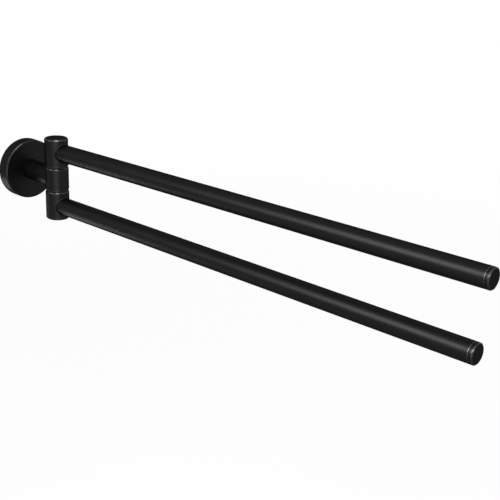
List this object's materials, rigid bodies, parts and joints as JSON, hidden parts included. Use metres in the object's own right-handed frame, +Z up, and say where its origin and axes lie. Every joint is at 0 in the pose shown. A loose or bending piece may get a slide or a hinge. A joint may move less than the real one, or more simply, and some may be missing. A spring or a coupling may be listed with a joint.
{
  "type": "swivel towel holder",
  "caption": "Wall-mounted swivel towel holder: a round flange and short neck carry an upright column whose long round arms swing sideways, one above the other.",
  "frame": {"origin": "centre of the flange's back face, on the wall", "axes": "+Y points into the wall, so the arms reach towards -Y; +Z is up, along the column; +X is to the right seen from the front"},
  "size_m": [0.0548, 0.46, 0.0704],
  "materials": {
    "black_coat": "matte black powder coat",
    "cast_zinc": "bare cast zinc",
    "plated_steel": "bright zinc plate",
    "black_steel": "black oxide",
    "brass": "turned",
    "white_plastic": "moulded acetal",
    "black_plastic": "moulded nylon"
  },
  "bodies": {
    "wall_mount": {"wall_plate": "cast_zinc", "flange_cover": "black_coat", "flange_grub_screw": "black_steel", "neck": "black_coat", "neck_bolt": "plated_steel", "neck_lock_washer": "plated_steel", "hub": "black_coat", "pivot_pin": "plated_steel", "upper_friction_washer": "black_plastic", "lower_friction_washer": "black_plastic", "upper_spring_washer": "plated_steel", "lower_spring_washer": "plated_steel", "upper_lock_nut": "plated_steel", "lower_lock_nut": "plated_steel"},
    "upper_arm": {"upper_barrel": "black_coat", "upper_bush": "white_plastic", "top_cap": "black_coat", "upper_arm_spigot": "brass", "upper_arm_tube": "black_coat", "upper_end_cap": "black_coat"},
    "lower_arm": {"lower_barrel": "black_coat", "lower_bush": "white_plastic", "bottom_cap": "black_coat", "lower_arm_spigot": "brass", "lower_arm_tube": "black_coat", "lower_end_cap": "black_coat"}
  },
  "joints": [
    {"name": "upper_arm_swivel", "type": "hinge", "parent": "wall_mount", "child": "upper_arm", "pos_m": [0, -0.0485, 0.0233], "axis": [0, 0, 1], "range_deg": [-93, 87]},
    {"name": "lower_arm_swivel", "type": "hinge", "parent": "wall_mount", "child": "lower_arm", "pos_m": [0, -0.0485, -0.0233], "axis": [0, 0, 1], "range_deg": [-91.7, 88.3]}
  ]
}
